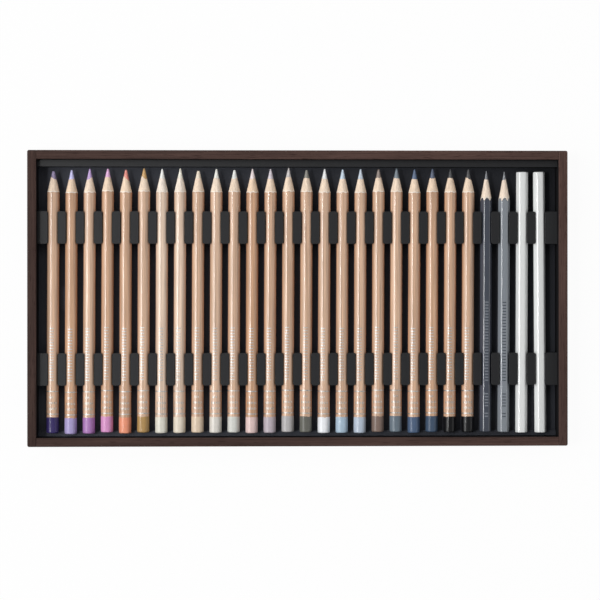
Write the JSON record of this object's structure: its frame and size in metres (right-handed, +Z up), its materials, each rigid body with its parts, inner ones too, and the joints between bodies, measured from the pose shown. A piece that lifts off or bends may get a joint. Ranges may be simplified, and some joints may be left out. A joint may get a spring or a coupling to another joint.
{
  "type": "pencil drawer box",
  "caption": "Shallow open wooden drawer with a black clip insert that holds a row of coloured pencils, graphite pencils and white sticks, each of which lifts out.",
  "frame": {"origin": "middle of the underside, on the surface that the drawer stands on", "axes": "+X along the row of pencils, +Y towards the pencils' points, +Z up out of the open drawer"},
  "size_m": [0.358, 0.196, 0.02],
  "materials": {
    "stained_wood": "satin, dark brown stain",
    "insert_black": "matte, fine grained",
    "varnished_cedar": "clear gloss varnish",
    "bare_cedar": "freshly cut, matte",
    "silver_foil": "hot-stamped foil",
    "graphite": "burnished",
    "dark_grey_paint": "gloss paint on wood",
    "grey_paint": "gloss paint on wood",
    "white_paint": "satin paint on wood",
    "pigment_01": "waxy pigmented lead",
    "pigment_02": "waxy pigmented lead",
    "pigment_03": "waxy pigmented lead",
    "pigment_04": "waxy pigmented lead",
    "pigment_05": "waxy pigmented lead",
    "pigment_06": "waxy pigmented lead",
    "pigment_07": "waxy pigmented lead",
    "pigment_08": "waxy pigmented lead",
    "pigment_09": "waxy pigmented lead",
    "pigment_10": "waxy pigmented lead",
    "pigment_11": "waxy pigmented lead",
    "pigment_12": "waxy pigmented lead",
    "pigment_13": "waxy pigmented lead",
    "pigment_14": "waxy pigmented lead",
    "pigment_15": "waxy pigmented lead",
    "pigment_16": "waxy pigmented lead",
    "pigment_17": "waxy pigmented lead",
    "pigment_18": "waxy pigmented lead",
    "pigment_19": "waxy pigmented lead",
    "pigment_20": "waxy pigmented lead",
    "pigment_21": "waxy pigmented lead",
    "pigment_22": "waxy pigmented lead",
    "pigment_23": "waxy pigmented lead",
    "pigment_24": "waxy pigmented lead",
    "lacquer_01": "dipped gloss lacquer",
    "lacquer_02": "dipped gloss lacquer",
    "lacquer_03": "dipped gloss lacquer",
    "lacquer_04": "dipped gloss lacquer",
    "lacquer_05": "dipped gloss lacquer",
    "lacquer_06": "dipped gloss lacquer",
    "lacquer_07": "dipped gloss lacquer",
    "lacquer_08": "dipped gloss lacquer",
    "lacquer_09": "dipped gloss lacquer",
    "lacquer_10": "dipped gloss lacquer",
    "lacquer_11": "dipped gloss lacquer",
    "lacquer_12": "dipped gloss lacquer",
    "lacquer_13": "dipped gloss lacquer",
    "lacquer_14": "dipped gloss lacquer",
    "lacquer_15": "dipped gloss lacquer",
    "lacquer_16": "dipped gloss lacquer",
    "lacquer_17": "dipped gloss lacquer",
    "lacquer_18": "dipped gloss lacquer",
    "lacquer_19": "dipped gloss lacquer",
    "lacquer_20": "dipped gloss lacquer",
    "lacquer_21": "dipped gloss lacquer",
    "lacquer_22": "dipped gloss lacquer",
    "lacquer_23": "dipped gloss lacquer",
    "lacquer_24": "dipped gloss lacquer"
  },
  "bodies": {
    "drawer": {"left_board": "stained_wood", "right_board": "stained_wood", "front_board": "stained_wood", "rear_board": "stained_wood", "base_panel": "stained_wood", "pencil_insert": "insert_black"},
    "pencil_01": {"pencil_01_casing": "varnished_cedar", "pencil_01_lead": "pigment_01"},
    "pencil_02": {"pencil_02_casing": "varnished_cedar", "pencil_02_lead": "pigment_02"},
    "pencil_03": {"pencil_03_casing": "varnished_cedar", "pencil_03_lead": "pigment_03"},
    "pencil_04": {"pencil_04_casing": "varnished_cedar", "pencil_04_lead": "pigment_04"},
    "pencil_05": {"pencil_05_casing": "varnished_cedar", "pencil_05_lead": "pigment_05"},
    "pencil_06": {"pencil_06_casing": "varnished_cedar", "pencil_06_lead": "pigment_06"},
    "pencil_07": {"pencil_07_casing": "varnished_cedar", "pencil_07_lead": "pigment_07"},
    "pencil_08": {"pencil_08_casing": "varnished_cedar", "pencil_08_lead": "pigment_08"},
    "pencil_09": {"pencil_09_casing": "varnished_cedar", "pencil_09_lead": "pigment_09"},
    "pencil_10": {"pencil_10_casing": "varnished_cedar", "pencil_10_lead": "pigment_10"},
    "pencil_11": {"pencil_11_casing": "varnished_cedar", "pencil_11_lead": "pigment_11"},
    "pencil_12": {"pencil_12_casing": "varnished_cedar", "pencil_12_lead": "pigment_12"},
    "pencil_13": {"pencil_13_casing": "varnished_cedar", "pencil_13_lead": "pigment_13"},
    "pencil_14": {"pencil_14_casing": "varnished_cedar", "pencil_14_lead": "pigment_14"},
    "pencil_15": {"pencil_15_casing": "varnished_cedar", "pencil_15_lead": "pigment_15"},
    "pencil_16": {"pencil_16_casing": "varnished_cedar", "pencil_16_lead": "pigment_16"},
    "pencil_17": {"pencil_17_casing": "varnished_cedar", "pencil_17_lead": "pigment_17"},
    "pencil_18": {"pencil_18_casing": "varnished_cedar", "pencil_18_lead": "pigment_18"},
    "pencil_19": {"pencil_19_casing": "varnished_cedar", "pencil_19_lead": "pigment_19"},
    "pencil_20": {"pencil_20_casing": "varnished_cedar", "pencil_20_lead": "pigment_20"},
    "pencil_21": {"pencil_21_casing": "varnished_cedar", "pencil_21_lead": "pigment_21"},
    "pencil_22": {"pencil_22_casing": "varnished_cedar", "pencil_22_lead": "pigment_22"},
    "pencil_23": {"pencil_23_casing": "varnished_cedar", "pencil_23_lead": "pigment_23"},
    "pencil_24": {"pencil_24_casing": "varnished_cedar", "pencil_24_lead": "pigment_24"},
    "pencil_25": {"pencil_25_casing": "dark_grey_paint", "pencil_25_lead": "graphite"},
    "pencil_26": {"pencil_26_casing": "grey_paint", "pencil_26_lead": "graphite"},
    "white_stick_1_body": {"white_stick_1": "white_paint"},
    "white_stick_2_body": {"white_stick_2": "white_paint"}
  },
  "joints": [
    {"name": "pencil_01_lift", "type": "slide", "parent": "drawer", "child": "pencil_01", "axis": [0, 0, 1], "range_m": [0, 0.03], "deforming": ["pencil_insert"]},
    {"name": "pencil_02_lift", "type": "slide", "parent": "drawer", "child": "pencil_02", "axis": [0, 0, 1], "range_m": [0, 0.03], "deforming": ["pencil_insert"]},
    {"name": "pencil_03_lift", "type": "slide", "parent": "drawer", "child": "pencil_03", "axis": [0, 0, 1], "range_m": [0, 0.03], "deforming": ["pencil_insert"]},
    {"name": "pencil_04_lift", "type": "slide", "parent": "drawer", "child": "pencil_04", "axis": [0, 0, 1], "range_m": [0, 0.03], "deforming": ["pencil_insert"]},
    {"name": "pencil_05_lift", "type": "slide", "parent": "drawer", "child": "pencil_05", "axis": [0, 0, 1], "range_m": [0, 0.03], "deforming": ["pencil_insert"]},
    {"name": "pencil_06_lift", "type": "slide", "parent": "drawer", "child": "pencil_06", "axis": [0, 0, 1], "range_m": [0, 0.03], "deforming": ["pencil_insert"]},
    {"name": "pencil_07_lift", "type": "slide", "parent": "drawer", "child": "pencil_07", "axis": [0, 0, 1], "range_m": [0, 0.03], "deforming": ["pencil_insert"]},
    {"name": "pencil_08_lift", "type": "slide", "parent": "drawer", "child": "pencil_08", "axis": [0, 0, 1], "range_m": [0, 0.03], "deforming": ["pencil_insert"]},
    {"name": "pencil_09_lift", "type": "slide", "parent": "drawer", "child": "pencil_09", "axis": [0, 0, 1], "range_m": [0, 0.03], "deforming": ["pencil_insert"]},
    {"name": "pencil_10_lift", "type": "slide", "parent": "drawer", "child": "pencil_10", "axis": [0, 0, 1], "range_m": [0, 0.03], "deforming": ["pencil_insert"]},
    {"name": "pencil_11_lift", "type": "slide", "parent": "drawer", "child": "pencil_11", "axis": [0, 0, 1], "range_m": [0, 0.03], "deforming": ["pencil_insert"]},
    {"name": "pencil_12_lift", "type": "slide", "parent": "drawer", "child": "pencil_12", "axis": [0, 0, 1], "range_m": [0, 0.03], "deforming": ["pencil_insert"]},
    {"name": "pencil_13_lift", "type": "slide", "parent": "drawer", "child": "pencil_13", "axis": [0, 0, 1], "range_m": [0, 0.03], "deforming": ["pencil_insert"]},
    {"name": "pencil_14_lift", "type": "slide", "parent": "drawer", "child": "pencil_14", "axis": [0, 0, 1], "range_m": [0, 0.03], "deforming": ["pencil_insert"]},
    {"name": "pencil_15_lift", "type": "slide", "parent": "drawer", "child": "pencil_15", "axis": [0, 0, 1], "range_m": [0, 0.03], "deforming": ["pencil_insert"]},
    {"name": "pencil_16_lift", "type": "slide", "parent": "drawer", "child": "pencil_16", "axis": [0, 0, 1], "range_m": [0, 0.03], "deforming": ["pencil_insert"]},
    {"name": "pencil_17_lift", "type": "slide", "parent": "drawer", "child": "pencil_17", "axis": [0, 0, 1], "range_m": [0, 0.03], "deforming": ["pencil_insert"]},
    {"name": "pencil_18_lift", "type": "slide", "parent": "drawer", "child": "pencil_18", "axis": [0, 0, 1], "range_m": [0, 0.03], "deforming": ["pencil_insert"]},
    {"name": "pencil_19_lift", "type": "slide", "parent": "drawer", "child": "pencil_19", "axis": [0, 0, 1], "range_m": [0, 0.03], "deforming": ["pencil_insert"]},
    {"name": "pencil_20_lift", "type": "slide", "parent": "drawer", "child": "pencil_20", "axis": [0, 0, 1], "range_m": [0, 0.03], "deforming": ["pencil_insert"]},
    {"name": "pencil_21_lift", "type": "slide", "parent": "drawer", "child": "pencil_21", "axis": [0, 0, 1], "range_m": [0, 0.03], "deforming": ["pencil_insert"]},
    {"name": "pencil_22_lift", "type": "slide", "parent": "drawer", "child": "pencil_22", "axis": [0, 0, 1], "range_m": [0, 0.03], "deforming": ["pencil_insert"]},
    {"name": "pencil_23_lift", "type": "slide", "parent": "drawer", "child": "pencil_23", "axis": [0, 0, 1], "range_m": [0, 0.03], "deforming": ["pencil_insert"]},
    {"name": "pencil_24_lift", "type": "slide", "parent": "drawer", "child": "pencil_24", "axis": [0, 0, 1], "range_m": [0, 0.03], "deforming": ["pencil_insert"]},
    {"name": "pencil_25_lift", "type": "slide", "parent": "drawer", "child": "pencil_25", "axis": [0, 0, 1], "range_m": [0, 0.03], "deforming": ["pencil_insert"]},
    {"name": "pencil_26_lift", "type": "slide", "parent": "drawer", "child": "pencil_26", "axis": [0, 0, 1], "range_m": [0, 0.03], "deforming": ["pencil_insert"]},
    {"name": "white_stick_1_lift", "type": "slide", "parent": "drawer", "child": "white_stick_1_body", "axis": [0, 0, 1], "range_m": [0, 0.03], "deforming": ["pencil_insert"]},
    {"name": "white_stick_2_lift", "type": "slide", "parent": "drawer", "child": "white_stick_2_body", "axis": [0, 0, 1], "range_m": [0, 0.03], "deforming": ["pencil_insert"]}
  ]
}
